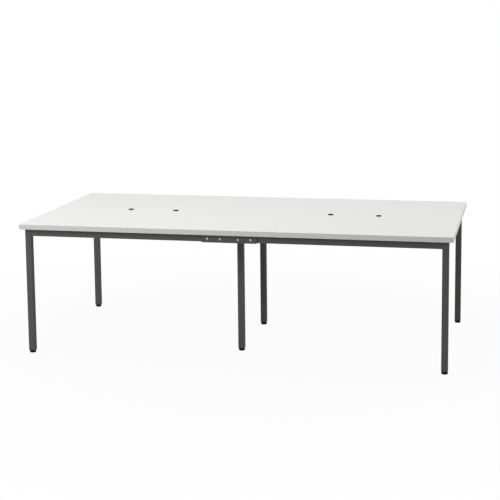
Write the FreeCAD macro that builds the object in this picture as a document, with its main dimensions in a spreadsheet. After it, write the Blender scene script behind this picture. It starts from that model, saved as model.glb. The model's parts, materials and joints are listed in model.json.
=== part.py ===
"""Six-legged coworking desk: a banded board on a bolted square-tube frame with levelling feet.

Millimetres. The origin is on the floor under the middle of the top, +X along the length,
-Y towards the front edge and +Z up.
"""
import FreeCAD, Part
import math
import os

import Sketcher
from FreeCAD import Placement, Rotation, Vector

SIZES = {
    # Table top
    "desk_height": 740,
    "top_length": 2400,
    "top_depth": 1200,
    "top_thickness": 28,
    "band_thickness": 2,
    "band_edge_radius": 1.2,
    # Cable holes in the top and their liners
    "cable_pair_from_middle": 600,
    "cable_pair_spacing": 276,
    "liner_bore": 25,
    "liner_wall": 1.5,
    "liner_clearance": 0.15,
    "liner_flange_width": 1.5,
    "liner_recess_depth": 1.2,
    "liner_rim_height": 4,
    "liner_rim_radius": 1.4,
    # Frame tubes
    "end_overhang": 25,
    "front_overhang": 25,
    "leg_size": 35,
    "leg_wall": 2,
    "rail_height": 40,
    "rail_depth": 30,
    "end_rail_depth": 20,
    "rail_wall": 2,
    "tube_corner_radius": 2.5,
    "rail_joint_gap": 1,
    # Joining plates and their through bolts
    "plate_length": 306,
    "plate_height": 40,
    "plate_thickness": 5,
    "plate_corner_radius": 3,
    "plate_below_top": 3,
    "bolt_inner_offset": 50,
    "bolt_outer_offset": 120,
    "bolt_diameter": 8,
    "bolt_hole_clearance": 0.4,
    "bolt_head_diameter": 14,
    "bolt_head_height": 4.4,
    "bolt_head_radius": 3,
    "bolt_socket_width": 5,
    "bolt_socket_depth": 2.6,
    "bolt_tail": 3,
    "nut_width": 13,
    "nut_height": 7,
    "nut_flange_diameter": 17,
    "nut_flange_height": 1.6,
    "nut_bore_clearance": 0.05,
    # Middle legs
    "middle_leg_from_middle": 300,
    "middle_plate_size": 100,
    "middle_plate_thickness": 4,
    "middle_plate_corner_radius": 8,
    "middle_screw_from_edge": 14,
    # Wood screws that hold the frame and the middle legs to the top
    "rail_screw_count": 3,
    "end_rail_screw_count": 3,
    "screw_diameter": 5,
    "screw_bite": 20,
    "screw_point_length": 5,
    "screw_point_diameter": 1,
    "screw_head_diameter": 10,
    "screw_head_height": 3,
    "screw_head_radius": 1.6,
    "screw_hole_clearance": 0.1,
    "pilot_extra_depth": 1,
    "driver_hole_diameter": 14,
    # Plugs in the leg ends
    "plug_flange_thickness": 2,
    "plug_core_size": 26,
    "plug_depth": 22,
    "plug_fin_count": 3,
    "plug_fin_thickness": 2,
    "plug_fin_clearance": 0.1,
    "plug_nut_width": 13,
    "plug_nut_height": 6.5,
    "plug_nut_clearance": 0.1,
    "plug_bore_clearance": 0.3,
    # Levelling feet
    "pad_diameter": 35,
    "pad_height": 14,
    "pad_sole_radius": 3,
    "pad_shoulder_radius": 1,
    "pad_floor": 3,
    "stud_diameter": 8,
    "stud_thread_clearance": 0.08,
    "stud_rise": 36,
    "stud_end_chamfer": 1,
    "stud_button_diameter": 14,
    "stud_button_height": 3,
    "stud_button_clearance": 0.3,
}

doc = FreeCAD.newDocument("coworking_desk")
sizes = doc.addObject("Spreadsheet::Sheet", "sizes")
for row, (alias, number) in enumerate(SIZES.items(), start=1):
    sizes.set(f"A{row}", alias)
    sizes.set(f"B{row}", str(number))
    sizes.setAlias(f"B{row}", alias)
doc.recompute()

# Heights and places worked out from the sheet
UNDERSIDE = "(sizes.desk_height - sizes.top_thickness)"
FRAME_X = "(sizes.top_length / 2 - sizes.end_overhang)"
FRAME_Y = "(sizes.top_depth / 2 - sizes.front_overhang)"
LEG_X = f"({FRAME_X} - sizes.leg_size / 2)"
LEG_Y = f"({FRAME_Y} - sizes.leg_size / 2)"
LEG_BOTTOM = "(sizes.pad_height + sizes.plug_flange_thickness)"
MIDDLE_LEG_TOP = f"({UNDERSIDE} - sizes.middle_plate_thickness)"
RAIL_X_OUTER = f"({FRAME_X} - sizes.leg_size)"
RAIL_LENGTH = f"({RAIL_X_OUTER} - sizes.rail_joint_gap / 2)"
RAIL_X = f"({RAIL_X_OUTER} / 2 + sizes.rail_joint_gap / 4)"
RAIL_Y = f"({FRAME_Y} - sizes.rail_depth / 2)"
RAIL_Z = f"({UNDERSIDE} - sizes.rail_height / 2)"
END_RAIL_X = LEG_X
END_RAIL_LENGTH = f"(2 * ({FRAME_Y} - sizes.leg_size))"
BOLT_Z = f"({UNDERSIDE} - sizes.plate_below_top - sizes.plate_height / 2)"
LINER_OUTER = "(sizes.liner_bore + 2 * sizes.liner_wall)"
LINER_FLANGE = f"({LINER_OUTER} + 2 * sizes.liner_flange_width)"
BOLT_HOLE = "(sizes.bolt_diameter + 2 * sizes.bolt_hole_clearance)"
SCREW_HOLE = "(sizes.screw_diameter + 2 * sizes.screw_hole_clearance)"
MIDDLE_SCREW_REACH = "(sizes.middle_plate_size / 2 - sizes.middle_screw_from_edge)"
PLUG_FIN_SIZE = "(sizes.leg_size - 2 * sizes.leg_wall - 2 * sizes.plug_fin_clearance)"
STUD_BORE = "(sizes.stud_diameter + 2 * sizes.stud_thread_clearance)"

CORNERS = {"front_left": (-1, -1), "front_right": (1, -1), "back_left": (-1, 1), "back_right": (1, 1)}
SIDES = {"front": -1, "back": 1}
ENDS = {"left": -1, "right": 1}
PIECES = []


def value(expression):
    """Number that an expression on the sheet comes to."""
    return float(sizes.evalExpression(expression))


def new_body(label, at=("0", "0", "0"), turn=None):
    """Empty body of one sub-part, with its place bound to the sheet."""
    body = doc.addObject("PartDesign::Body", label)
    body.Label = label
    if turn:
        body.Placement = Placement(Vector(), turn)
    for axis, expression in zip("xyz", at):
        body.setExpression(f"Placement.Base.{axis}", expression)
    PIECES.append(body)
    return body


def new_sketch(body, plane, lift="0"):
    """Sketch on one of the body's own origin planes, lifted along its normal."""
    sketch = body.newObject("Sketcher::SketchObject", f"{body.Label}_sketch")
    support = next(feature for feature in body.Origin.OriginFeatures if feature.Role == plane)
    sketch.AttachmentSupport = [(support, "")]
    sketch.MapMode = "FlatFace"
    sketch.setExpression("AttachmentOffset.Base.z", lift)
    return sketch


def pin_point(sketch, geometry, point, across, up):
    """Tie one point of a sketch to its two coordinates on the sheet."""
    for kind, expression in (("DistanceX", across), ("DistanceY", up)):
        constraint = Sketcher.Constraint(kind, -1, 1, geometry, point, value(expression))
        index = sketch.addConstraint(constraint)
        sketch.setExpression(f"Constraints[{index}]", expression)


def draw_outline(sketch, corners):
    """Closed outline of straight lines through corners given as pairs of expressions."""
    points = [Vector(value(across), value(up), 0) for across, up in corners]
    count = len(corners)
    lines = []
    for index in range(count):
        segment = Part.LineSegment(points[index], points[(index + 1) % count])
        lines.append(sketch.addGeometry(segment, False))
    for index, line in enumerate(lines):
        sketch.addConstraint(Sketcher.Constraint("Coincident", line, 2, lines[(index + 1) % count], 1))
    for line, (across, up) in zip(lines, corners):
        pin_point(sketch, line, 1, across, up)


def draw_rectangle(sketch, width, height):
    """Rectangle centred on the sketch's origin."""
    signs = ((-1, -1), (1, -1), (1, 1), (-1, 1))
    draw_outline(sketch, [(f"{across} * {width} / 2", f"{up} * {height} / 2") for across, up in signs])


def draw_hexagon(sketch, across_flats):
    """Hexagon centred on the sketch's origin."""
    angles = [60 * step for step in range(6)]
    reach = f"{across_flats} / sqrt(3)"
    draw_outline(sketch, [(f"{reach} * cos({angle} deg)", f"{reach} * sin({angle} deg)") for angle in angles])


def draw_circles(sketch, diameter, centres):
    """Equal circles round centres given as pairs of expressions."""
    for across, up in centres:
        middle = Vector(value(across), value(up), 0)
        circle = sketch.addGeometry(Part.Circle(middle, Vector(0, 0, 1), value(diameter) / 2), False)
        pin_point(sketch, circle, 3, across, up)
        index = sketch.addConstraint(Sketcher.Constraint("Diameter", circle, value(diameter)))
        sketch.setExpression(f"Constraints[{index}]", diameter)


def add_pad(body, sketch, length, side="One side"):
    """Pad along the sketch's normal, or to both sides of its plane."""
    pad = body.newObject("PartDesign::Pad", f"{body.Label}_pad")
    pad.Profile = sketch
    pad.SideType = side
    pad.setExpression("Length", length)
    doc.recompute()
    return pad


def add_pocket(body, sketch, length=None, side="One side", forward=True):
    """Pocket that must take something away, right through where it has no length."""
    before = body.Shape.Volume
    pocket = body.newObject("PartDesign::Pocket", f"{body.Label}_pocket")
    pocket.Profile = sketch
    pocket.SideType = side
    pocket.Reversed = forward
    if length is None:
        pocket.Type = "ThroughAll"
    else:
        pocket.setExpression("Length", length)
    doc.recompute()
    if body.Shape.Volume >= before:
        raise RuntimeError(f"{pocket.Label} cuts nothing")
    return pocket


def add_revolution(body, sketch):
    """Full turn of a profile about the sketch's upright axis."""
    turned = body.newObject("PartDesign::Revolution", f"{body.Label}_revolution")
    turned.Profile = sketch
    turned.ReferenceAxis = (sketch, ["V_Axis"])
    turned.Angle = 360
    doc.recompute()
    return turned


def add_fillet(body, radius, chosen):
    """Round those edges of the body that a test picks."""
    base = body.Tip
    names = [f"Edge{index}" for index, edge in enumerate(base.Shape.Edges, start=1) if chosen(edge)]
    if not names:
        raise RuntimeError(f"{body.Label} has no such edge to round")
    fillet = body.newObject("PartDesign::Fillet", f"{body.Label}_fillet")
    fillet.Base = (base, names)
    fillet.setExpression("Radius", radius)
    doc.recompute()
    return fillet


def runs_along(edge, axis):
    """Whether an edge is straight and parallel to an axis."""
    if not isinstance(edge.Curve, Part.Line):
        return False
    return abs(edge.Curve.Direction.dot(axis)) > 0.999


def is_ring(edge, radius, height):
    """Whether an edge is a circle of this radius at this height about the upright axis."""
    if not isinstance(edge.Curve, Part.Circle):
        return False
    return math.isclose(edge.Curve.Radius, radius) and math.isclose(edge.Curve.Center.z, height, abs_tol=1e-6)


def add_tube(label, plane, axis, width, height, wall, length, at):
    """Hollow tube with rounded long edges, centred on its own place."""
    body = new_body(label, at)
    sketch = new_sketch(body, plane)
    draw_rectangle(sketch, width, height)
    draw_rectangle(sketch, f"({width} - 2 * {wall})", f"({height} - 2 * {wall})")
    add_pad(body, sketch, length, "Symmetric")
    across = Vector(0, 1, 0) if axis.x else Vector(1, 0, 0)
    outer = (value(width) - value(wall)) / 2
    add_fillet(
        body,
        "sizes.tube_corner_radius",
        lambda edge: runs_along(edge, axis) and abs(edge.CenterOfMass.dot(across)) > outer,
    )
    return body


def evenly(length, count):
    """Places of a row of holes, spread evenly along a length about its middle."""
    return [f"{length} * ({index + 0.5} / {count} - 0.5)" for index in range(count)]


def drill_for_screws(body, centres):
    """Screw holes through a rail's upper wall and wider driver holes through its lower wall."""
    sketch = new_sketch(body, "XY_Plane")
    draw_circles(sketch, SCREW_HOLE, centres)
    add_pocket(body, sketch)
    sketch = new_sketch(body, "XY_Plane")
    draw_circles(sketch, "sizes.driver_hole_diameter", centres)
    add_pocket(body, sketch, forward=False)


def add_group(label, template, placements):
    """One node of equal, separate fasteners, each a copy of a template solid."""
    group = doc.addObject("Part::Feature", label)
    group.Label = label
    copies = []
    for placement in placements:
        copy = template.Shape.copy()
        copy.Placement = placement.multiply(copy.Placement)
        copies.append(copy)
    group.Shape = Part.makeCompound(copies)
    PIECES.append(group)
    return group


def new_template(label):
    """Body that is only copied into groups, and isn't a sub-part itself."""
    body = new_body(label)
    PIECES.remove(body)
    return body


def rail_screw_places():
    """Where the screws of the long rails and the end rails stand, as pairs of expressions."""
    along = evenly(RAIL_LENGTH, int(value("sizes.rail_screw_count")))
    across = evenly(END_RAIL_LENGTH, int(value("sizes.end_rail_screw_count")))
    long_rails = {}
    for side, front_back in SIDES.items():
        long_rails[side] = [
            (f"({left_right} * {RAIL_X} + {place})", f"{front_back} * {RAIL_Y}")
            for left_right in ENDS.values()
            for place in along
        ]
    end_rails = [(f"{left_right} * {END_RAIL_X}", place) for left_right in ENDS.values() for place in across]
    return long_rails, end_rails


def middle_screw_places(front_back):
    """Where the four screws of one middle leg's plate stand, as pairs of expressions."""
    middle = f"{front_back} * sizes.middle_leg_from_middle"
    signs = [(across, up) for across in (-1, 1) for up in (-1, 1)]
    return [
        (f"{across} * {MIDDLE_SCREW_REACH}", f"({middle} + {up} * {MIDDLE_SCREW_REACH})")
        for across, up in signs
    ]


def cable_places():
    """Names and X places of the cable holes, which lie on the top's centre line."""
    half_spacing = "sizes.cable_pair_spacing / 2"
    places = {}
    for end, left_right in ENDS.items():
        places[f"{end}_outer"] = f"{left_right} * (sizes.cable_pair_from_middle + {half_spacing})"
        places[f"{end}_inner"] = f"{left_right} * (sizes.cable_pair_from_middle - {half_spacing})"
    return places


def make_top_board():
    """Board of the table top, with recessed cable holes and blind pilot holes for the screws."""
    body = new_body("top_board", ("0", "0", UNDERSIDE))
    sketch = new_sketch(body, "XY_Plane")
    draw_rectangle(
        sketch,
        "(sizes.top_length - 2 * sizes.band_thickness)",
        "(sizes.top_depth - 2 * sizes.band_thickness)",
    )
    add_pad(body, sketch, "sizes.top_thickness")
    sketch = new_sketch(body, "XY_Plane")
    hole = f"({LINER_OUTER} + 2 * sizes.liner_clearance)"
    draw_circles(sketch, hole, [(place, "0") for place in cable_places().values()])
    add_pocket(body, sketch)
    sketch = new_sketch(body, "XY_Plane", "sizes.top_thickness - sizes.liner_recess_depth")
    recess = f"({LINER_FLANGE} + 2 * sizes.liner_clearance)"
    draw_circles(sketch, recess, [(place, "0") for place in cable_places().values()])
    add_pocket(body, sketch)
    long_rails, end_rails = rail_screw_places()
    pilots = long_rails["front"] + long_rails["back"] + end_rails
    for front_back in SIDES.values():
        pilots += middle_screw_places(front_back)
    sketch = new_sketch(body, "XY_Plane")
    draw_circles(sketch, SCREW_HOLE, pilots)
    add_pocket(body, sketch, "sizes.screw_bite + sizes.pilot_extra_depth")


def make_edge_bands():
    """Edge bands: the front and back ones run the whole length, the end ones fit between them."""
    middle_z = f"({UNDERSIDE} + sizes.top_thickness / 2)"
    for side, front_back in SIDES.items():
        body = new_body(
            f"edge_band_{side}",
            ("0", f"{front_back} * (sizes.top_depth - sizes.band_thickness) / 2", middle_z),
        )
        sketch = new_sketch(body, "XY_Plane")
        draw_rectangle(sketch, "sizes.top_length", "sizes.band_thickness")
        add_pad(body, sketch, "sizes.top_thickness", "Symmetric")
        face_y = front_back * value("sizes.band_thickness") / 2
        add_fillet(
            body,
            "sizes.band_edge_radius",
            lambda edge: math.isclose(edge.CenterOfMass.y, face_y) and not runs_along(edge, Vector(0, 1, 0)),
        )
    for end, left_right in ENDS.items():
        body = new_body(
            f"edge_band_{end}",
            (f"{left_right} * (sizes.top_length - sizes.band_thickness) / 2", "0", middle_z),
        )
        sketch = new_sketch(body, "XY_Plane")
        draw_rectangle(sketch, "sizes.band_thickness", "(sizes.top_depth - 2 * sizes.band_thickness)")
        add_pad(body, sketch, "sizes.top_thickness", "Symmetric")
        face_x = left_right * value("sizes.band_thickness") / 2
        add_fillet(
            body,
            "sizes.band_edge_radius",
            lambda edge: runs_along(edge, Vector(0, 1, 0)) and math.isclose(edge.CenterOfMass.x, face_x),
        )


def make_cable_liners():
    """Liners of the cable holes: a sleeve through the top, with a rounded collar seated in a recess."""
    for name, place in cable_places().items():
        body = new_body(f"cable_liner_{name}", (place, "0", "sizes.desk_height"))
        inner = "sizes.liner_bore / 2"
        outer = f"{LINER_OUTER} / 2"
        flange = f"{LINER_FLANGE} / 2"
        sketch = new_sketch(body, "XZ_Plane")
        profile = [
            (inner, "-sizes.top_thickness"),
            (outer, "-sizes.top_thickness"),
            (outer, "-sizes.liner_recess_depth"),
            (flange, "-sizes.liner_recess_depth"),
            (flange, "sizes.liner_rim_height"),
            (inner, "sizes.liner_rim_height"),
        ]
        draw_outline(sketch, profile)
        add_revolution(body, sketch)
        rings = (value(inner), value(flange))
        crest = value("sizes.liner_rim_height")
        add_fillet(
            body,
            "sizes.liner_rim_radius",
            lambda edge: any(is_ring(edge, radius, crest) for radius in rings),
        )


def make_corner_legs():
    """Corner legs, from the plugs up to the underside of the top."""
    length = f"({UNDERSIDE} - {LEG_BOTTOM})"
    middle_z = f"(({UNDERSIDE} + {LEG_BOTTOM}) / 2)"
    for corner, (left_right, front_back) in CORNERS.items():
        place = (f"{left_right} * {LEG_X}", f"{front_back} * {LEG_Y}", middle_z)
        add_tube(
            f"leg_{corner}", "XY_Plane", Vector(0, 0, 1),
            "sizes.leg_size", "sizes.leg_size", "sizes.leg_wall", length, place,
        )


def make_long_rails():
    """Half rails under the front and back edges, drilled for screws and for the joining bolts."""
    along = evenly(RAIL_LENGTH, int(value("sizes.rail_screw_count")))
    for side, front_back in SIDES.items():
        for end, left_right in ENDS.items():
            place = (f"{left_right} * {RAIL_X}", f"{front_back} * {RAIL_Y}", RAIL_Z)
            body = add_tube(
                f"rail_{side}_{end}", "YZ_Plane", Vector(1, 0, 0),
                "sizes.rail_depth", "sizes.rail_height", "sizes.rail_wall", RAIL_LENGTH, place,
            )
            drill_for_screws(body, [(place, "0") for place in along])
            sketch = new_sketch(body, "XZ_Plane")
            bolts = [
                (f"{left_right} * (sizes.{offset} - {RAIL_X})", f"({BOLT_Z} - {RAIL_Z})")
                for offset in ("bolt_inner_offset", "bolt_outer_offset")
            ]
            draw_circles(sketch, BOLT_HOLE, bolts)
            add_pocket(body, sketch, side="Symmetric")


def make_end_rails():
    """Narrower rails between the front and back legs at each end, centred on the legs."""
    across = evenly(END_RAIL_LENGTH, int(value("sizes.end_rail_screw_count")))
    for end, left_right in ENDS.items():
        body = add_tube(
            f"rail_end_{end}", "XZ_Plane", Vector(0, 1, 0),
            "sizes.end_rail_depth", "sizes.rail_height", "sizes.rail_wall", END_RAIL_LENGTH,
            (f"{left_right} * {END_RAIL_X}", "0", RAIL_Z),
        )
        drill_for_screws(body, [("0", place) for place in across])


def bolt_x_places():
    """X places of the four bolts through one joining plate, as expressions."""
    offsets = ("sizes.bolt_inner_offset", "sizes.bolt_outer_offset")
    return [f"{left_right} * {offset}" for left_right in ENDS.values() for offset in offsets]


def make_joining_plates():
    """Flat plates over the rail joints, on the rails' outer faces."""
    for side, front_back in SIDES.items():
        place = ("0", f"{front_back} * ({FRAME_Y} + sizes.plate_thickness / 2)", BOLT_Z)
        body = new_body(f"joining_plate_{side}", place)
        sketch = new_sketch(body, "XZ_Plane")
        draw_rectangle(sketch, "sizes.plate_length", "sizes.plate_height")
        add_pad(body, sketch, "sizes.plate_thickness", "Symmetric")
        sketch = new_sketch(body, "XZ_Plane")
        draw_circles(sketch, BOLT_HOLE, [(place, "0") for place in bolt_x_places()])
        add_pocket(body, sketch, side="Symmetric")
        add_fillet(body, "sizes.plate_corner_radius", lambda edge: runs_along(edge, Vector(0, 1, 0)))


def make_joining_bolts():
    """Round-head bolts through the joining plates and rails, with flange nuts behind."""
    radius = "sizes.bolt_diameter / 2"
    head = "sizes.bolt_head_diameter / 2"
    length = "(sizes.plate_thickness + sizes.rail_depth + sizes.nut_height + sizes.bolt_tail)"
    bolt = new_template("joining_bolt_template")
    sketch = new_sketch(bolt, "XZ_Plane")
    profile = [
        ("0", "-sizes.bolt_head_height"),
        (head, "-sizes.bolt_head_height"),
        (head, "0"),
        (radius, "0"),
        (radius, length),
        ("0", length),
    ]
    draw_outline(sketch, profile)
    add_revolution(bolt, sketch)
    crown = -value("sizes.bolt_head_height")
    head_radius = value(head)
    add_fillet(bolt, "sizes.bolt_head_radius", lambda edge: is_ring(edge, head_radius, crown))
    sketch = new_sketch(bolt, "XY_Plane", "-sizes.bolt_head_height")
    draw_hexagon(sketch, "sizes.bolt_socket_width")
    add_pocket(bolt, sketch, "sizes.bolt_socket_depth")

    nut = new_template("joining_nut_template")
    sketch = new_sketch(nut, "XY_Plane")
    draw_circles(sketch, "sizes.nut_flange_diameter", [("0", "0")])
    add_pad(nut, sketch, "sizes.nut_flange_height")
    sketch = new_sketch(nut, "XY_Plane")
    draw_hexagon(sketch, "sizes.nut_width")
    add_pad(nut, sketch, "sizes.nut_height")
    sketch = new_sketch(nut, "XY_Plane")
    draw_circles(sketch, "(sizes.bolt_diameter + 2 * sizes.nut_bore_clearance)", [("0", "0")])
    add_pocket(nut, sketch)

    head_y = value(f"{FRAME_Y} + sizes.plate_thickness")
    nut_y = value(f"{FRAME_Y} - sizes.rail_depth")
    for side, front_back in SIDES.items():
        inwards = Rotation(Vector(0, 0, 1), Vector(0, -front_back, 0))
        places = [(value(place), value(BOLT_Z)) for place in bolt_x_places()]
        bolts = [Placement(Vector(x, front_back * head_y, z), inwards) for x, z in places]
        nuts = [Placement(Vector(x, front_back * nut_y, z), inwards) for x, z in places]
        add_group(f"joining_bolts_{side}", bolt, bolts)
        add_group(f"joining_nuts_{side}", nut, nuts)


def make_middle_legs():
    """Middle legs, each a tube under a flat plate that is screwed to the top."""
    length = f"({MIDDLE_LEG_TOP} - {LEG_BOTTOM})"
    middle_z = f"(({MIDDLE_LEG_TOP} + {LEG_BOTTOM}) / 2)"
    for side, front_back in SIDES.items():
        leg_y = f"{front_back} * sizes.middle_leg_from_middle"
        add_tube(
            f"leg_middle_{side}", "XY_Plane", Vector(0, 0, 1),
            "sizes.leg_size", "sizes.leg_size", "sizes.leg_wall", length, ("0", leg_y, middle_z),
        )
        body = new_body(f"middle_plate_{side}", ("0", leg_y, MIDDLE_LEG_TOP))
        sketch = new_sketch(body, "XY_Plane")
        draw_rectangle(sketch, "sizes.middle_plate_size", "sizes.middle_plate_size")
        add_pad(body, sketch, "sizes.middle_plate_thickness")
        sketch = new_sketch(body, "XY_Plane")
        reach = MIDDLE_SCREW_REACH
        signs = [(across, up) for across in (-1, 1) for up in (-1, 1)]
        draw_circles(sketch, SCREW_HOLE, [(f"{across} * {reach}", f"{up} * {reach}") for across, up in signs])
        add_pocket(body, sketch)
        add_fillet(body, "sizes.middle_plate_corner_radius", lambda edge: runs_along(edge, Vector(0, 0, 1)))


def make_screw_template(label, grip):
    """Pan-head wood screw that points up, with its head's seat at height zero."""
    body = new_template(label)
    radius = "sizes.screw_diameter / 2"
    head = "sizes.screw_head_diameter / 2"
    tip = f"({grip} + sizes.screw_bite)"
    sketch = new_sketch(body, "XZ_Plane")
    profile = [
        ("0", "-sizes.screw_head_height"),
        (head, "-sizes.screw_head_height"),
        (head, "0"),
        (radius, "0"),
        (radius, f"({tip} - sizes.screw_point_length)"),
        ("sizes.screw_point_diameter / 2", tip),
        ("0", tip),
    ]
    draw_outline(sketch, profile)
    add_revolution(body, sketch)
    crown = -value("sizes.screw_head_height")
    head_radius = value(head)
    add_fillet(body, "sizes.screw_head_radius", lambda edge: is_ring(edge, head_radius, crown))
    return body


def make_screws():
    """Wood screws up through the rails and the middle plates into the top."""
    rail_screw = make_screw_template("rail_screw_template", "sizes.rail_wall")
    seat = value(f"{UNDERSIDE} - sizes.rail_wall")
    long_rails, end_rails = rail_screw_places()
    for name, places in (("front", long_rails["front"]), ("back", long_rails["back"]), ("end", end_rails)):
        placements = [Placement(Vector(value(x), value(y), seat), Rotation()) for x, y in places]
        add_group(f"top_screws_{name}", rail_screw, placements)
    plate_screw = make_screw_template("plate_screw_template", "sizes.middle_plate_thickness")
    seat = value(MIDDLE_LEG_TOP)
    for side, front_back in SIDES.items():
        places = middle_screw_places(front_back)
        placements = [Placement(Vector(value(x), value(y), seat), Rotation()) for x, y in places]
        add_group(f"middle_screws_{side}", plate_screw, placements)


def foot_places():
    """Names and places of the six legs' axes, as pairs of expressions."""
    places = {corner: (f"{x} * {LEG_X}", f"{y} * {LEG_Y}") for corner, (x, y) in CORNERS.items()}
    for side, front_back in SIDES.items():
        places[f"middle_{side}"] = ("0", f"{front_back} * sizes.middle_leg_from_middle")
    return places


def make_plug(name, across, along):
    """Finned plug in a leg's end, bored for the stud and pocketed for its nut."""
    body = new_body(f"plug_{name}", (across, along, "sizes.pad_height"))
    sketch = new_sketch(body, "XY_Plane")
    draw_rectangle(sketch, "sizes.leg_size", "sizes.leg_size")
    add_pad(body, sketch, "sizes.plug_flange_thickness")
    add_fillet(body, "sizes.tube_corner_radius", lambda edge: runs_along(edge, Vector(0, 0, 1)))
    sketch = new_sketch(body, "XY_Plane", "sizes.plug_flange_thickness")
    draw_rectangle(sketch, "sizes.plug_core_size", "sizes.plug_core_size")
    add_pad(body, sketch, "sizes.plug_depth")
    count = int(value("sizes.plug_fin_count"))
    for index in range(count):
        lift = f"sizes.plug_flange_thickness + sizes.plug_depth * {index + 0.5} / {count}"
        sketch = new_sketch(body, "XY_Plane", lift)
        draw_rectangle(sketch, PLUG_FIN_SIZE, PLUG_FIN_SIZE)
        add_pad(body, sketch, "sizes.plug_fin_thickness", "Symmetric")
    sketch = new_sketch(body, "XY_Plane")
    draw_circles(sketch, "(sizes.stud_diameter + 2 * sizes.plug_bore_clearance)", [("0", "0")])
    add_pocket(body, sketch)
    nut_seat = "sizes.plug_flange_thickness + sizes.plug_depth - sizes.plug_nut_height"
    sketch = new_sketch(body, "XY_Plane", nut_seat)
    draw_hexagon(sketch, "(sizes.plug_nut_width + 2 * sizes.plug_nut_clearance)")
    add_pocket(body, sketch)


def make_plug_nuts():
    """Steel nuts in the plugs, which the studs of the feet turn in."""
    nut = new_template("plug_nut_template")
    sketch = new_sketch(nut, "XY_Plane")
    draw_hexagon(sketch, "sizes.plug_nut_width")
    add_pad(nut, sketch, "sizes.plug_nut_height")
    sketch = new_sketch(nut, "XY_Plane")
    draw_circles(sketch, STUD_BORE, [("0", "0")])
    add_pocket(nut, sketch)
    seat = value(f"{LEG_BOTTOM} + sizes.plug_depth - sizes.plug_nut_height")
    places = [Vector(value(across), value(along), seat) for across, along in foot_places().values()]
    add_group("plug_nuts", nut, [Placement(place, Rotation()) for place in places])


def make_foot_stud(name, across, along):
    """Threaded stud of a foot, with a button at its lower end that turns in the pad."""
    body = new_body(f"foot_stud_{name}", (across, along, "sizes.pad_floor"))
    radius = "sizes.stud_diameter / 2"
    button = "sizes.stud_button_diameter / 2"
    top = "(sizes.pad_height - sizes.pad_floor + sizes.stud_rise)"
    sketch = new_sketch(body, "XZ_Plane")
    profile = [
        ("0", "0"),
        (button, "0"),
        (button, "sizes.stud_button_height"),
        (radius, "sizes.stud_button_height"),
        (radius, f"({top} - sizes.stud_end_chamfer)"),
        (f"({radius} - sizes.stud_end_chamfer)", top),
        ("0", top),
    ]
    draw_outline(sketch, profile)
    add_revolution(body, sketch)


def make_foot_pad(name, across, along):
    """Round pad of a foot, with a socket that holds the stud's button."""
    body = new_body(f"foot_pad_{name}", (across, along, "0"))
    rim = "sizes.pad_diameter / 2"
    neck = "(sizes.stud_diameter / 2 + sizes.stud_button_clearance)"
    socket = "(sizes.stud_button_diameter / 2 + sizes.stud_button_clearance)"
    socket_top = "(sizes.pad_floor + sizes.stud_button_height + sizes.stud_button_clearance)"
    sketch = new_sketch(body, "XZ_Plane")
    profile = [
        ("0", "0"),
        (rim, "0"),
        (rim, "sizes.pad_height"),
        (neck, "sizes.pad_height"),
        (neck, socket_top),
        (socket, socket_top),
        (socket, "sizes.pad_floor"),
        ("0", "sizes.pad_floor"),
    ]
    draw_outline(sketch, profile)
    add_revolution(body, sketch)
    rim_radius = value(rim)
    add_fillet(body, "sizes.pad_sole_radius", lambda edge: is_ring(edge, rim_radius, 0))
    shoulder = value("sizes.pad_height")
    add_fillet(body, "sizes.pad_shoulder_radius", lambda edge: is_ring(edge, rim_radius, shoulder))


def make_feet():
    """Plugs, nuts, studs and pads under all six legs."""
    for name, (across, along) in foot_places().items():
        make_plug(name, across, along)
        make_foot_stud(name, across, along)
        make_foot_pad(name, across, along)
    make_plug_nuts()


def check_document():
    """Stop on any failed object or bad shape before anything is written."""
    for item in doc.Objects:
        if "Invalid" in item.State or "Error" in item.State:
            raise RuntimeError(f"{item.Label} failed: {item.State}")
    for piece in PIECES:
        if piece.Shape.isNull() or not piece.Shape.isValid() or not piece.Shape.Solids:
            raise RuntimeError(f"{piece.Label} has no valid solid")


def write_parts():
    """Write each sub-part to its own file."""
    os.makedirs("parts", exist_ok=True)
    for piece in PIECES:
        piece.Shape.exportStep(f"parts/{piece.Label}.step")
    print(len(PIECES), "sub-parts written")


make_top_board()
make_edge_bands()
make_cable_liners()
make_corner_legs()
make_long_rails()
make_end_rails()
make_joining_plates()
make_joining_bolts()
make_middle_legs()
make_screws()
make_feet()
doc.recompute()
check_document()
write_parts()
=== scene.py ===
"""Coworking desk: finishes, fasteners, welds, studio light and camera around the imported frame."""
import json
import math

import bpy
from mathutils import Matrix, Vector


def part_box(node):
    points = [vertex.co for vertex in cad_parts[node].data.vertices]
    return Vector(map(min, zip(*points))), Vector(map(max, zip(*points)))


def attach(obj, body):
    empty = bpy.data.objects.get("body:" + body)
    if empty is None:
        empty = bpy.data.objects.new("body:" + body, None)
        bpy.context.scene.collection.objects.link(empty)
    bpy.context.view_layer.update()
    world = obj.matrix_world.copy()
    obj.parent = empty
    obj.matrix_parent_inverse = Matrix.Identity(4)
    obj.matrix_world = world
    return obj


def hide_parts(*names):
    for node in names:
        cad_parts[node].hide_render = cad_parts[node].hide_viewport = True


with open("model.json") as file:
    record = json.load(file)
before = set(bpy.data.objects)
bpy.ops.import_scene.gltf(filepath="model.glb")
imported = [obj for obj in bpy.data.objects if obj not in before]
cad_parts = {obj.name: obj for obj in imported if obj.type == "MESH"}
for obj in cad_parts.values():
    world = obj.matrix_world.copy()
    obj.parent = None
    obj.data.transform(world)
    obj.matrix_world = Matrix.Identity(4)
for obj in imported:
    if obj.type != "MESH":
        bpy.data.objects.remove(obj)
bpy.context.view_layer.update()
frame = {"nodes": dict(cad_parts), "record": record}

MM = 0.001
FULL_TURN = 2 * math.pi
HALF_TURN = math.pi
QUARTER_TURN = math.pi / 2
SIXTH_TURN = math.pi / 3
WHITE = (1.0, 1.0, 1.0, 1.0)

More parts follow.
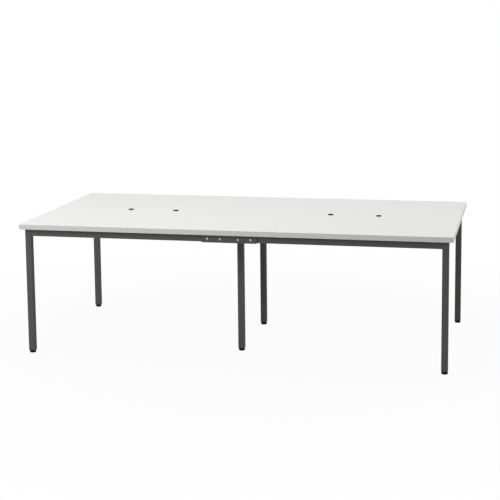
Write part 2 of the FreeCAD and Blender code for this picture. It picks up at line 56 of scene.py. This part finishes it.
FEET = ("front_left", "front_right", "back_left", "back_right", "middle_front", "middle_back")
SIDES = {"front": -1, "back": 1}
ENDS = {"left": -1, "right": 1}

# Joining bolts, their nuts and the studs of the feet, which share one metric thread
SHANK = 8 * MM
PITCH = 1.25 * MM
THREAD_DEPTH = 0.55 * MM
BOLT = {"Crown": 8 * MM, "Socket": 5 * MM, "Socket Depth": 2.6 * MM, "Shank": SHANK}
BOLT_SUNK = 1 * MM
BOLT_POINT = 2.2 * MM
NUT = {"Width": 13 * MM, "Flange Height": 2.4 * MM, "Bore": 8.1 * MM}
NUT_CROWN_SHARE = 0.985
NUT_NECK_SHARE = 1.06
STUD = {"Button Height": 3 * MM, "Shank": SHANK}
STUD_CROWN_SHARE = 0.84
STUD_POINT = 1.4 * MM

# Wood screws
SCREW = {
    "Head": 10 * MM, "Crown": 6.8 * MM, "Height": 3 * MM, "Shank": 5 * MM,
    "Recess": 5.2 * MM, "Recess Width": 1.1 * MM, "Recess Depth": 1.9 * MM,
}
SCREW_PITCH = 2.4 * MM
SCREW_DEPTH = 0.8 * MM
SCREW_SUNK = 0.5 * MM
SCREW_POINT = 5.5 * MM

# Fasteners of one node stand at least this far apart
FASTENERS_APART = 30 * MM

# A hexagon's corners and a chamfer of 30 degrees
HEXAGON_CORNER = 1 / math.sqrt(3)
CHAMFER_SLOPE = math.sqrt(3)

# Welds
WELD = {"Radius": 1.7 * MM, "Ripple": 1.5 * MM, "Corner": 2.5 * MM}
WELD_INSET = 2 * MM

# Edges sharper than this stay crisp on the shapes made here
SHARP_EDGE = math.radians(38)

# Camera, from the perspective of the photograph
IMAGE_PX = 500
FOCAL_PX = 1272.91
AXIS_ROW_PX = 175
CAMERA_PLACE = (1.6045, -7.1401, 1.9515)
CAMERA_YAW = 0.22253
CAMERA_PITCH = 0.1344
CAMERA_ROLL = -0.00997
CAMERA_REACH = 200.0
SENSOR_MM = 36

# Studio
AMBIENT = 0.25
FLOOR_REACH = 40.0
FLOOR_WHITE = 0.6
FLOOR_MOTTLE = 0.01
FLOOR_GLOW = 0.95
FLOOR_FADE_FROM = 1.3
FLOOR_FADE_OVER = 1.6
LAMPS = {
    "overhead": {
        "place": (0.55, 0.0, 3.6), "target": (0.55, 0.0, 0.7), "width": 8.0, "depth": 3.0, "watts": 95.0,
    },
    "front_key": {
        "place": (-3.2, -3.9, 3.3), "target": (-0.3, -0.2, 0.5), "width": 3.0, "depth": 2.4, "watts": 142.0,
    },
    # Lower than the work surface, which would mirror it
    "end_fill": {
        "place": (4.6, 0.2, 0.4), "target": (1.2, 0.0, 0.5), "width": 1.5, "depth": 0.6, "watts": 30.0,
    },
}


class Value:
    """A node's output, on which Python's operators add Math nodes."""

    def __init__(self, nodes, node, output=0):
        self.nodes = nodes
        self.node = node
        self.socket = node.outputs[output]

    def out(self, output):
        """Another output of the same node."""
        return Value(self.nodes, self.node, output)

    def math(self, operation, *others):
        """Any other Math operation on this value."""
        return self.nodes.math(operation, self, *others)

    def __add__(self, other):
        return self.math("ADD", other)

    def __radd__(self, other):
        return self.nodes.math("ADD", other, self)

    def __sub__(self, other):
        return self.math("SUBTRACT", other)

    def __rsub__(self, other):
        return self.nodes.math("SUBTRACT", other, self)

    def __mul__(self, other):
        return self.math("MULTIPLY", other)

    def __rmul__(self, other):
        return self.nodes.math("MULTIPLY", other, self)

    def __truediv__(self, other):
        return self.math("DIVIDE", other)

    def __rtruediv__(self, other):
        return self.nodes.math("DIVIDE", other, self)

    def __abs__(self):
        return self.math("ABSOLUTE")

    def __gt__(self, other):
        return self.math("GREATER_THAN", other)


class Nodes:
    """One node tree, to which a single method adds nodes of every type."""

    def __init__(self, tree):
        self.tree = tree
        tree.nodes.clear()

    def add(self, kind, settings=None, sockets=None, output=0):
        """New node: its settings first, then the values or links of its sockets."""
        node = self.tree.nodes.new(kind)
        for name, setting in (settings or {}).items():
            if name == "stops":
                set_ramp(node.color_ramp, setting)
            else:
                setattr(node, name, setting)
        for name, given in (sockets or {}).items():
            for value in given if isinstance(given, list) else [given]:
                if isinstance(value, Value):
                    self.tree.links.new(value.socket, node.inputs[name])
                else:
                    node.inputs[name].default_value = value
        return Value(self, node, output) if node.outputs else node

    def math(self, operation, *values):
        """Math node on numbers and values."""
        return self.add("ShaderNodeMath", {"operation": operation}, dict(enumerate(values)))

    def mix_colour(self, factor, first, second):
        """Colour between two colours, at the places that a Mix node has for colours."""
        first_place, second_place, result = 6, 7, 2
        sockets = {0: factor, first_place: opaque(first), second_place: opaque(second)}
        return self.add("ShaderNodeMix", {"data_type": "RGBA"}, sockets, output=result)

    def scaled(self, vector, scale):
        """Vector with each part multiplied by its own number."""
        return self.add("ShaderNodeVectorMath", {"operation": "MULTIPLY"}, {0: vector, 1: scale})

    def parts(self, vector):
        """The X, Y and Z values of a vector."""
        split = self.add("ShaderNodeSeparateXYZ", None, {0: vector})
        return split, split.out(1), split.out(2)

    def noise(self, place, scale, detail=2.0, roughness=0.5):
        """Noise from 0 to 1 at a place."""
        sockets = {"Vector": place, "Scale": scale, "Detail": detail, "Roughness": roughness}
        return self.add("ShaderNodeTexNoise", None, sockets)


def opaque(colour):
    """A colour that nodes work out as it is, or three written numbers with full alpha."""
    return colour if isinstance(colour, Value) else (*colour, 1.0)


def grey(level):
    """Three equal parts of a colour."""
    return (level, level, level)


def set_ramp(ramp, stops):
    """Stops of a colour ramp, as pairs of place and grey level."""
    while len(ramp.elements) < len(stops):
        ramp.elements.new(0.5)
    for element, (place, level) in zip(ramp.elements, stops):
        element.position = place
        element.color = opaque(grey(level))


class Finish(Nodes):
    """A material of the desk, with its object coordinates at hand."""

    def __init__(self, name):
        self.material = bpy.data.materials.new(name)
        self.material.use_nodes = True
        super().__init__(self.material.node_tree)
        self.place = self.add("ShaderNodeTexCoord").out("Object")

    def grain(self, scale, detail=2.0, roughness=0.5):
        """Noise that is alike in all directions, with its scale per metre."""
        return self.noise(self.place, scale, detail, roughness)

    def streaks(self, scales, detail=2.0, roughness=0.5):
        """Noise with its own scale per metre along X, Y and Z."""
        return self.noise(self.scaled(self.place, scales), 1.0, detail, roughness)

    def spread(self, value, low=0.3, high=0.7):
        """Ramp that stretches the middle of a noise over 0 to 1."""
        return self.add("ShaderNodeValToRGB", {"stops": ((low, 0.0), (high, 1.0))}, {0: value})

    def bump(self, height, strength, distance, under=None):
        """Bump from a height, over another bump where there is one."""
        sockets = {"Height": height, "Strength": strength, "Distance": distance}
        if under:
            sockets["Normal"] = under
        return self.add("ShaderNodeBump", None, sockets)

    def close(self, sockets):
        """Principled shader with these sockets, joined to the output."""
        shader = self.add("ShaderNodeBsdfPrincipled", None, sockets)
        self.add("ShaderNodeOutputMaterial", None, {"Surface": shader})
        return self.material


def top_laminate():
    """Satin near-white melamine with a fine pearl, and the hairline joint beside the edge band."""
    finish = Finish("top_laminate")
    dark, light = (0.772, 0.770, 0.758), (0.796, 0.794, 0.783)
    palest, glue_line = (0.806, 0.803, 0.790), (0.42, 0.41, 0.39)
    joint_width = 0.35 * MM
    _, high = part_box("top_board")
    across, along, _ = finish.parts(finish.place)
    from_end = abs(across) - (high.x - joint_width)
    from_side = abs(along) - (high.y - joint_width)
    joint = from_end.math("MAXIMUM", from_side) > 0.0
    cloud = finish.spread(finish.grain(2.2, detail=3.0), 0.35, 0.65)
    speck = finish.spread(finish.grain(420.0))
    pearl = finish.grain(1100.0)
    peel = finish.grain(160.0, detail=1.0)
    tone = finish.mix_colour(speck, dark, light)
    tone = finish.mix_colour(cloud * 0.35, tone, palest)
    tone = finish.mix_colour(joint * 0.55, tone, glue_line)
    relief = finish.bump(peel, strength=0.05, distance=0.2 * MM)
    relief = finish.bump(pearl, strength=0.10, distance=0.05 * MM, under=relief)
    return finish.close({
        "Base Color": tone,
        "Roughness": 0.40 + cloud * 0.05 + speck * 0.05,
        "Specular IOR Level": 0.4,
        "Normal": relief,
    })


def edge_band():
    """Matt plastic edge band with faint lines along its length from the extruder."""
    finish = Finish("edge_band")
    dark, light, dull = (0.690, 0.687, 0.675), (0.718, 0.716, 0.704), (0.67, 0.665, 0.65)
    lines = finish.spread(finish.streaks((3.0, 3.0, 900.0)))
    grain = finish.grain(1500.0)
    cloud = finish.grain(5.0)
    tone = finish.mix_colour(lines, dark, light)
    tone = finish.mix_colour(cloud * 0.3, tone, dull)
    relief = finish.bump(lines, strength=0.06, distance=0.04 * MM)
    relief = finish.bump(grain, strength=0.12, distance=0.05 * MM, under=relief)
    return finish.close({
        "Base Color": tone,
        "Roughness": 0.48 + grain * 0.08,
        "Specular IOR Level": 0.4,
        "Normal": relief,
    })


def frame_paint():
    """Dark grey powder coat: fine orange peel, a faint fleck, and light scuffs low on the legs."""
    finish = Finish("frame_paint")
    dark, light = (0.083, 0.083, 0.081), (0.111, 0.111, 0.108)
    dull, worn = (0.091, 0.091, 0.090), (0.15, 0.15, 0.145)
    scuffs_end = 0.16
    _, _, height = finish.parts(finish.place)
    peel = finish.grain(420.0)
    fleck = finish.spread(finish.grain(1300.0, detail=3.0, roughness=0.6), 0.38, 0.68)
    cloud = finish.spread(finish.grain(9.0, detail=3.0))
    rubbed = finish.streaks((260.0, 260.0, 24.0), detail=3.0, roughness=0.6)
    low_down = (1.0 - height / scuffs_end).math("MAXIMUM", 0.0)
    scuff = finish.spread(rubbed, 0.66, 0.74) * low_down
    tone = finish.mix_colour(fleck, dark, light)
    tone = finish.mix_colour(cloud * 0.25, tone, dull)
    tone = finish.mix_colour(scuff * 0.5, tone, worn)
    relief = finish.bump(peel, strength=0.22, distance=0.25 * MM)
    relief = finish.bump(fleck, strength=0.10, distance=0.05 * MM, under=relief)
    return finish.close({
        "Base Color": tone,
        "Roughness": 0.64 + cloud * 0.05 + fleck * 0.06 + scuff * 0.1,
        "Specular IOR Level": 0.25,
        "Normal": relief,
    })


def zinc_steel():
    """Bright zinc plate with fine handling scratches and a faint cool cast in patches."""
    finish = Finish("zinc_steel")
    cool, warm = (0.395, 0.40, 0.405), (0.475, 0.475, 0.465)
    fine = finish.streaks((4000.0, 700.0, 700.0))
    cross = finish.streaks((600.0, 600.0, 4200.0))
    patch = finish.spread(finish.grain(260.0, detail=3.0))
    marks = finish.spread(fine.math("MAXIMUM", cross), 0.5, 0.8)
    return finish.close({
        "Base Color": finish.mix_colour(patch, cool, warm),
        "Metallic": 1.0,
        "Roughness": 0.24 + patch * 0.08 + marks * 0.12,
        "Normal": finish.bump(marks, strength=0.12, distance=0.03 * MM),
    })


def black_plastic():
    """Moulded black plastic with a fine eroded grain and duller patches."""
    finish = Finish("black_plastic")
    dark, light = grey(0.005), grey(0.009)
    grain = finish.grain(1700.0, detail=3.0, roughness=0.6)
    patch = finish.spread(finish.grain(70.0))
    return finish.close({
        "Base Color": finish.mix_colour(patch, dark, light),
        "Roughness": 0.66 + patch * 0.06 + grain * 0.1,
        "Specular IOR Level": 0.15,
        "Normal": finish.bump(grain, strength=0.25, distance=0.08 * MM),
    })


FINISHES = {
    make.__name__: make()
    for make in (top_laminate, edge_band, frame_paint, zinc_steel, black_plastic)
}


def finish_nodes():
    """Every node of the frame gets the finish of its own slot."""
    for row in frame["record"]["subparts"]:
        mesh = frame["nodes"][row["node"]].data
        for index in range(len(mesh.materials)):
            mesh.materials[index] = FINISHES[row["material_slot"]]
        if not mesh.materials:
            mesh.materials.append(FINISHES[row["material_slot"]])


class Shape(Nodes):
    """A Geometry Nodes tree whose named inputs are its sizes in metres."""

    def __init__(self, name, sizes):
        tree = bpy.data.node_groups.new(name, "GeometryNodeTree")
        super().__init__(tree)
        tree.interface.new_socket(name="Geometry", in_out="INPUT", socket_type="NodeSocketGeometry")
        for size in sizes:
            tree.interface.new_socket(name=size, in_out="INPUT", socket_type="NodeSocketFloat")
        tree.interface.new_socket(name="Geometry", in_out="OUTPUT", socket_type="NodeSocketGeometry")
        self.given = self.add("NodeGroupInput")

    def size(self, name):
        """Value of a named input."""
        return self.given.out(name)

    def vector(self, x=0.0, y=0.0, z=0.0):
        """Vector from three values."""
        return self.add("ShaderNodeCombineXYZ", None, {0: x, 1: y, 2: z})

    def moved(self, geometry, offset=None, turn=(0.0, 0.0, 0.0)):
        """Geometry turned and then moved."""
        sockets = {"Geometry": geometry, "Rotation": turn}
        if offset:
            sockets["Translation"] = offset
        return self.add("GeometryNodeTransform", None, sockets)

    def cylinder(self, sides, rows, radius, length):
        """Closed cylinder that stands on the origin."""
        sockets = {"Vertices": sides, "Side Segments": rows, "Radius": radius, "Depth": length}
        mesh = self.add("GeometryNodeMeshCylinder", {"fill_type": "NGON"}, sockets)
        return self.moved(mesh, self.vector(z=length * 0.5))

    def combined(self, operation, first, second):
        """Boolean of two closed meshes."""
        if operation == "DIFFERENCE":
            sockets = {"Mesh 1": first, "Mesh 2": second}
        else:
            sockets = {"Mesh 2": [first, second]}
        return self.add("GeometryNodeMeshBoolean", {"operation": operation, "solver": "EXACT"}, sockets)

    def joined(self, *meshes):
        """Several meshes as one."""
        return self.add("GeometryNodeJoinGeometry", None, {"Geometry": list(meshes)})

    def reshaped(self, mesh, rule):
        """Mesh whose points a rule moves: it takes X, Y and Z, and gives a radial factor and a new Z."""
        x, y, z = self.parts(self.add("GeometryNodeInputPosition"))
        factor, height = rule(x, y, z)
        place = self.vector(x * factor, y * factor, height)
        return self.add("GeometryNodeSetPosition", None, {"Geometry": mesh, "Position": place})

    def dome(self, radius, crown, height, sides=40, rows=7):
        """Round head that stands on the origin, with its upper edge rounded down from a flat crown."""
        def rule(x, y, z):
            angle = z / height * QUARTER_TURN
            reach = crown + (radius - crown) * angle.math("COSINE")
            return reach / radius, angle.math("SINE") * height

        return self.reshaped(self.cylinder(sides, rows, radius, height), rule)

    def threaded_rod(self, radius, length, pitch, depth, point, sides=24, steps=5):
        """Rod that stands on the origin, with a thread round its side and a taper at its far end."""
        flank = 1.35
        blunt = 0.22

        def rule(x, y, z):
            turn = y.math("ARCTAN2", x) / FULL_TURN
            phase = (z / pitch - turn).math("FRACT")
            valley = 1.0 - (abs(phase * 2.0 - 1.0) * flank).math("MINIMUM", 1.0)
            cut = radius - depth * valley
            left = (length - z) / point
            tip = radius * (blunt + (1.0 - blunt) * left.math("MINIMUM", 1.0))
            return cut.math("MINIMUM", tip) / radius, z

        rows = length / pitch * float(steps)
        return self.reshaped(self.cylinder(sides, rows, radius, length), rule)

    def at_points(self, template, turn=None):
        """A copy of the template at each point of the base mesh."""
        points = self.add("GeometryNodeMeshToPoints", None, {"Mesh": self.given.out("Geometry")})
        sockets = {"Points": points, "Instance": template}
        if turn:
            sockets["Rotation"] = turn
        return self.add("GeometryNodeInstanceOnPoints", None, sockets)

    def close(self, geometry, finish):
        """End of the tree: plain geometry with its finish."""
        real = self.add("GeometryNodeRealizeInstances", None, {"Geometry": geometry})
        smooth = self.add("GeometryNodeSetShadeSmooth", None, {"Geometry": real})
        sockets = {"Geometry": smooth, "Material": FINISHES[finish]}
        painted = self.add("GeometryNodeSetMaterial", None, sockets)
        self.add("NodeGroupOutput", None, {"Geometry": painted})
        return self


def button_bolt():
    """Round-head bolts with a hexagon socket and a thread right along the shank."""
    sizes = ("Head", "Crown", "Height", "Socket", "Socket Depth", "Shank", "Length", "Turn")
    shape = Shape("button_bolt", sizes)
    height = shape.size("Height")
    head = shape.dome(shape.size("Head") * 0.5, shape.size("Crown") * 0.5, height)
    depth = shape.size("Socket Depth")
    corner = shape.size("Socket") * HEXAGON_CORNER
    key = shape.cylinder(sides=6, rows=1, radius=corner, length=depth * 2.0)
    key = shape.moved(key, shape.vector(z=height - depth))
    head = shape.combined("DIFFERENCE", head, key)
    length = shape.size("Length") + BOLT_SUNK
    shank = shape.threaded_rod(shape.size("Shank") * 0.5, length, PITCH, THREAD_DEPTH, BOLT_POINT)
    shank = shape.moved(shank, shape.vector(z=BOLT_SUNK), (HALF_TURN, 0.0, 0.0))
    bolts = shape.at_points(shape.joined(head, shank), shape.vector(x=shape.size("Turn")))
    return shape.close(bolts, "zinc_steel")


def flange_nut():
    """Chamfered hexagon nuts on a sloping round flange, with points set closer at both ends."""
    shape = Shape("flange_nut", ("Width", "Height", "Flange", "Flange Height", "Bore", "Turn"))
    height = shape.size("Height")
    inner = shape.size("Width") * 0.5
    foot = shape.size("Flange") * 0.5
    crown = inner * NUT_CROWN_SHARE
    neck = inner * NUT_NECK_SHARE

    def rule(x, y, z):
        share = z / height
        level = share * share * (3.0 - 2.0 * share) * height
        sector = (y.math("ARCTAN2", x) / SIXTH_TURN).math("FRACT") - 0.5
        flat = inner / (sector * SIXTH_TURN).math("COSINE")
        chamfer = crown + (height - level) * CHAMFER_SLOPE
        slope = foot - level / shape.size("Flange Height") * (foot - neck)
        reach = flat.math("MINIMUM", chamfer).math("MAXIMUM", slope)
        return reach / foot, level

    body = shape.cylinder(sides=48, rows=24, radius=foot, length=height)
    body = shape.reshaped(body, rule)
    bore = shape.cylinder(sides=32, rows=1, radius=shape.size("Bore") * 0.5, length=height * 3.0)
    body = shape.combined("DIFFERENCE", body, shape.moved(bore, shape.vector(z=height * -1.0)))
    nuts = shape.at_points(body, shape.vector(x=shape.size("Turn")))
    return shape.close(nuts, "zinc_steel")


def wood_screw():
    """Pan-head wood screws that point up, with a cross recess and a coarse thread."""
    sizes = ("Head", "Crown", "Height", "Recess", "Recess Width", "Recess Depth", "Shank", "Length")
    shape = Shape("wood_screw", sizes)
    height = shape.size("Height")
    head = shape.dome(shape.size("Head") * 0.5, shape.size("Crown") * 0.5, height)
    depth = shape.size("Recess Depth")
    size = shape.vector(shape.size("Recess"), shape.size("Recess Width"), depth * 2.0)
    wing = shape.add("GeometryNodeMeshCube", None, {"Size": size})
    cross = shape.combined("UNION", wing, shape.moved(wing, None, (0.0, 0.0, QUARTER_TURN)))
    head = shape.combined("DIFFERENCE", head, shape.moved(cross, shape.vector(z=height)))
    head = shape.moved(head, None, (HALF_TURN, 0.0, 0.0))
    shank = shape.threaded_rod(
        shape.size("Shank") * 0.5, shape.size("Length") + SCREW_SUNK, SCREW_PITCH, SCREW_DEPTH, SCREW_POINT,
        sides=16, steps=6,
    )
    shank = shape.moved(shank, shape.vector(z=-SCREW_SUNK))
    return shape.close(shape.at_points(shape.joined(head, shank)), "zinc_steel")


def foot_stud():
    """Threaded studs of the feet, on the button that turns in the pad."""
    shape = Shape("foot_stud", ("Button", "Crown", "Button Height", "Shank", "Length"))
    base = shape.size("Button Height")
    button = shape.dome(shape.size("Button") * 0.5, shape.size("Crown") * 0.5, base)
    shank = shape.threaded_rod(
        shape.size("Shank") * 0.5, shape.size("Length") - base * 0.5, PITCH, THREAD_DEPTH, STUD_POINT,
        sides=32, steps=6,
    )
    shank = shape.moved(shank, shape.vector(z=base * 0.5))
    return shape.close(shape.at_points(shape.joined(button, shank)), "zinc_steel")


def weld_bead():
    """Rippled fillet welds along the edges of the base mesh."""
    shape = Shape("weld_bead", ("Radius", "Ripple", "Corner"))
    ripple = shape.size("Ripple")
    path = shape.add("GeometryNodeMeshToCurve", None, {"Mesh": shape.given.out("Geometry")})
    sockets = {"Curve": path, "Radius": shape.size("Corner"), "Limit Radius": True, "Count": 4}
    path = shape.add("GeometryNodeFilletCurve", {"mode": "POLY"}, sockets)
    sockets = {"Curve": path, "Length": ripple * 0.25}
    path = shape.add("GeometryNodeResampleCurve", {"mode": "LENGTH"}, sockets)
    run = shape.add("GeometryNodeSplineParameter").out("Length")
    wave = (run / ripple * FULL_TURN).math("SINE")
    wander = shape.noise(shape.add("GeometryNodeInputPosition"), scale=160.0, detail=1.0)
    swell = 0.78 + wave * 0.1 + wander * 0.35
    path = shape.add("GeometryNodeSetCurveRadius", None, {"Curve": path, "Radius": swell})
    sockets = {"Resolution": 10, "Radius": shape.size("Radius")}
    ring = shape.add("GeometryNodeCurvePrimitiveCircle", None, sockets)
    sockets = {"Curve": path, "Profile Curve": ring, "Fill Caps": True}
    bead = shape.add("GeometryNodeCurveToMesh", None, sockets)
    return shape.close(bead, "frame_paint")


def grown(name, shape, base, sizes):
    """Plain mesh object that a shape makes on base points or edges."""
    piece = bpy.data.objects.new(name, base)
    bpy.context.scene.collection.objects.link(piece)
    modifier = piece.modifiers.new("shape", "NODES")
    modifier.node_group = shape.tree
    for item in shape.tree.interface.items_tree:
        if item.in_out == "INPUT" and item.name in sizes:
            modifier[item.identifier] = sizes[item.name]
    evaluated = piece.evaluated_get(bpy.context.evaluated_depsgraph_get())
    mesh = bpy.data.meshes.new_from_object(evaluated)
    piece.modifiers.remove(modifier)
    piece.data = mesh
    mesh.set_sharp_from_angle(angle=SHARP_EDGE)
    return piece


def base_mesh(name, places, edges=()):
    """Mesh of loose points, or of edges between them."""
    mesh = bpy.data.meshes.new(name)
    mesh.from_pydata(places, edges, [])
    return mesh


def solid_middles(node, axes):
    """Middles of a node's separate solids along the named axes."""
    solids = []
    for vertex in frame["nodes"][node].data.vertices:
        place = [getattr(vertex.co, axis) for axis in axes]
        for solid in solids:
            if all(abs(here - first) < FASTENERS_APART for here, first in zip(place, solid[0])):
                solid.append(place)
                break
        else:
            solids.append([place])
    return [[(min(line) + max(line)) / 2 for line in zip(*solid)] for solid in solids]


def stand_for(piece, node, body):
    """The piece takes a node's place on its body, and the node is hidden."""
    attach(piece, body)
    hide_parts(node)


def place_bolts(side, shape):
    """Bolts through one joining plate, with their heads outside."""
    node = f"joining_bolts_{side}"
    low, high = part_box(node)
    plate_low, plate_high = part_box(f"joining_plate_{side}")
    if SIDES[side] < 0:
        outer, seat, tail = low.y, plate_low.y, high.y
    else:
        outer, seat, tail = high.y, plate_high.y, low.y
    level = (low.z + high.z) / 2
    seats = [(x, seat, level) for x, in solid_middles(node, "x")]
    bolts = grown(f"{node}_threaded", shape, base_mesh("bolt_seats", seats), {
        **BOLT, "Head": high.z - low.z, "Height": abs(outer - seat), "Length": abs(tail - seat),
        "Turn": -SIDES[side] * QUARTER_TURN,
    })
    stand_for(bolts, node, "desk")


def place_nuts(side, shape):
    """Flanged nuts of one joining plate, on the inside of the rails."""
    node = f"joining_nuts_{side}"
    low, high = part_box(node)
    seat = low.y if SIDES[side] < 0 else high.y
    level = (low.z + high.z) / 2
    seats = [(x, seat, level) for x, in solid_middles(node, "x")]
    nuts = grown(f"{node}_flanged", shape, base_mesh("nut_seats", seats), {
        **NUT, "Height": high.y - low.y, "Flange": high.z - low.z, "Turn": SIDES[side] * QUARTER_TURN,
    })
    stand_for(nuts, node, "desk")


def place_joining_bolts():
    """Bolts and nuts of both joining plates."""
    bolt = button_bolt()
    nut = flange_nut()
    for side in SIDES:
        place_bolts(side, bolt)
        place_nuts(side, nut)


def place_wood_screws():
    """Screws up into the top through the rails and the middle plates."""
    screw = wood_screw()
    nodes = [f"top_screws_{row}" for row in ("front", "back", "end")]
    nodes += [f"middle_screws_{side}" for side in SIDES]
    for node in nodes:
        low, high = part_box(node)
        seat = low.z + SCREW["Height"]
        seats = [(x, y, seat) for x, y in solid_middles(node, "xy")]
        sizes = {**SCREW, "Length": high.z - seat}
        screws = grown(f"{node}_threaded", screw, base_mesh("screw_seats", seats), sizes)
        stand_for(screws, node, "desk")


def place_foot_studs():
    """One threaded stud in each foot, on the body that turns."""
    stud = foot_stud()
    for foot in FEET:
        node = f"foot_stud_{foot}"
        low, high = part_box(node)
        middle = (low + high) / 2
        button = high.x - low.x
        seats = [(middle.x, middle.y, low.z)]
        piece = grown(f"{node}_threaded", stud, base_mesh("stud_foot", seats), {
            **STUD, "Button": button, "Crown": button * STUD_CROWN_SHARE, "Length": high.z - low.z,
        })
        stand_for(piece, node, f"stud_{foot}")


def weld_runs():
    """Polylines of the welds, each with whether it closes on itself."""
    runs = []
    for side, front_back in SIDES.items():
        for end, left_right in ENDS.items():
            leg_low, leg_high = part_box(f"leg_{side}_{end}")
            low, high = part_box(f"rail_{side}_{end}")
            x = leg_high.x if left_right < 0 else leg_low.x
            outer, inner = (low.y, high.y) if front_back < 0 else (high.y, low.y)
            start = outer - front_back * WELD_INSET
            runs.append(([(x, start, low.z), (x, inner, low.z), (x, inner, high.z - WELD_INSET)], False))
            low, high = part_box(f"rail_end_{end}")
            y = leg_high.y if front_back < 0 else leg_low.y
            outer, inner = (low.x, high.x) if left_right < 0 else (high.x, low.x)
            start = outer - left_right * WELD_INSET
            runs.append(([(start, y, low.z), (inner, y, low.z), (inner, y, high.z - WELD_INSET)], False))
        low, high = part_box(f"leg_middle_{side}")
        corners = [(low.x, low.y), (high.x, low.y), (high.x, high.y), (low.x, high.y)]
        runs.append(([(x, y, high.z) for x, y in corners], True))
    return runs


def place_welds():
    """Weld beads where the rails meet the legs and the middle legs meet their plates."""
    places = []
    edges = []
    for run, closed in weld_runs():
        first = len(places)
        places += run
        edges += [(first + step, first + step + 1) for step in range(len(run) - 1)]
        if closed:
            edges.append((len(places) - 1, first))
    welds = grown("weld_beads", weld_bead(), base_mesh("weld_runs", places, edges), WELD)
    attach(welds, "desk")


def seen_directly(nodes):
    """1 on rays that show a surface as it is: from the camera, in a reflection or through glass."""
    path = nodes.add("ShaderNodeLightPath")
    straight = path.out("Is Camera Ray").math("MAXIMUM", path.out("Is Glossy Ray"))
    return straight.math("MAXIMUM", path.out("Is Transmission Ray"))


def studio_floor():
    """Plain pale floor that shows nearly white and keeps a faint shadow."""
    mesh = bpy.data.meshes.new("studio_floor")
    sides = ((-1, -1), (1, -1), (1, 1), (-1, 1))
    mesh.from_pydata([(x * FLOOR_REACH, y * FLOOR_REACH, 0) for x, y in sides], [], [range(len(sides))])
    floor = bpy.data.objects.new("studio_floor", mesh)
    bpy.context.scene.collection.objects.link(floor)
    finish = Finish("studio_floor")
    mottle = finish.grain(3.0, detail=3.0)
    tone = finish.mix_colour(mottle, grey(FLOOR_WHITE - FLOOR_MOTTLE), grey(FLOOR_WHITE + FLOOR_MOTTLE))
    matt = finish.add("ShaderNodeBsdfDiffuse", None, {"Color": tone})
    glow = finish.add("ShaderNodeEmission", None, {"Color": WHITE, "Strength": 1.0})
    across, along, _ = finish.parts(finish.place)
    away = (across * across + along * along).math("SQRT") - FLOOR_FADE_FROM
    fade = (away / FLOOR_FADE_OVER).math("MAXIMUM", 0.0).math("MINIMUM", 1.0)
    share = seen_directly(finish) * (FLOOR_GLOW + fade * (1 - FLOOR_GLOW))
    surface = finish.add("ShaderNodeMixShader", None, {0: share, 1: matt, 2: glow})
    finish.add("ShaderNodeOutputMaterial", None, {"Surface": surface})
    mesh.materials.append(finish.material)


def studio_world():
    """White background, and a weaker even light from it on the object."""
    world = bpy.data.worlds.new("studio")
    world.use_nodes = True
    bpy.context.scene.world = world
    nodes = Nodes(world.node_tree)
    strength = AMBIENT + seen_directly(nodes) * (1 - AMBIENT)
    sky = nodes.add("ShaderNodeBackground", None, {"Color": WHITE, "Strength": strength})
    nodes.add("ShaderNodeOutputWorld", None, {"Surface": sky})


def studio_lamp(name, place, target, width, depth, watts):
    """Soft rectangular lamp that faces a target."""
    lamp = bpy.data.lights.new(name, "AREA")
    lamp.shape = "RECTANGLE"
    lamp.size = width
    lamp.size_y = depth
    lamp.energy = watts
    holder = bpy.data.objects.new(name, lamp)
    bpy.context.scene.collection.objects.link(holder)
    aim = (Vector(target) - Vector(place)).to_track_quat("-Z", "Y")
    holder.matrix_world = Matrix.Translation(place) @ aim.to_matrix().to_4x4()


def studio_camera():
    """Camera at the photograph's place and angle."""
    ahead = Vector((-math.sin(CAMERA_YAW), math.cos(CAMERA_YAW), 0.0))
    level = Vector((math.cos(CAMERA_YAW), math.sin(CAMERA_YAW), 0.0))
    up = Vector((0.0, 0.0, 1.0))
    sight = ahead * math.cos(CAMERA_PITCH) - up * math.sin(CAMERA_PITCH)
    rise = up * math.cos(CAMERA_PITCH) + ahead * math.sin(CAMERA_PITCH)
    right = level * math.cos(CAMERA_ROLL) + rise * math.sin(CAMERA_ROLL)
    top = rise * math.cos(CAMERA_ROLL) - level * math.sin(CAMERA_ROLL)
    lens = bpy.data.cameras.new("studio_camera")
    lens.sensor_fit = "HORIZONTAL"
    lens.sensor_width = SENSOR_MM
    lens.lens = FOCAL_PX / IMAGE_PX * SENSOR_MM
    lens.shift_y = (AXIS_ROW_PX - IMAGE_PX / 2) / IMAGE_PX
    lens.clip_end = CAMERA_REACH
    camera = bpy.data.objects.new("studio_camera", lens)
    bpy.context.scene.collection.objects.link(camera)
    turn = Matrix((right, top, -sight)).transposed().to_4x4()
    camera.matrix_world = Matrix.Translation(CAMERA_PLACE) @ turn
    bpy.context.scene.camera = camera


finish_nodes()
place_joining_bolts()
place_wood_screws()
place_foot_studs()
place_welds()
studio_floor()
studio_world()
for lamp_name, lamp_facts in LAMPS.items():
    studio_lamp(lamp_name, **lamp_facts)
studio_camera()
bpy.context.scene.view_settings.view_transform = "Standard"
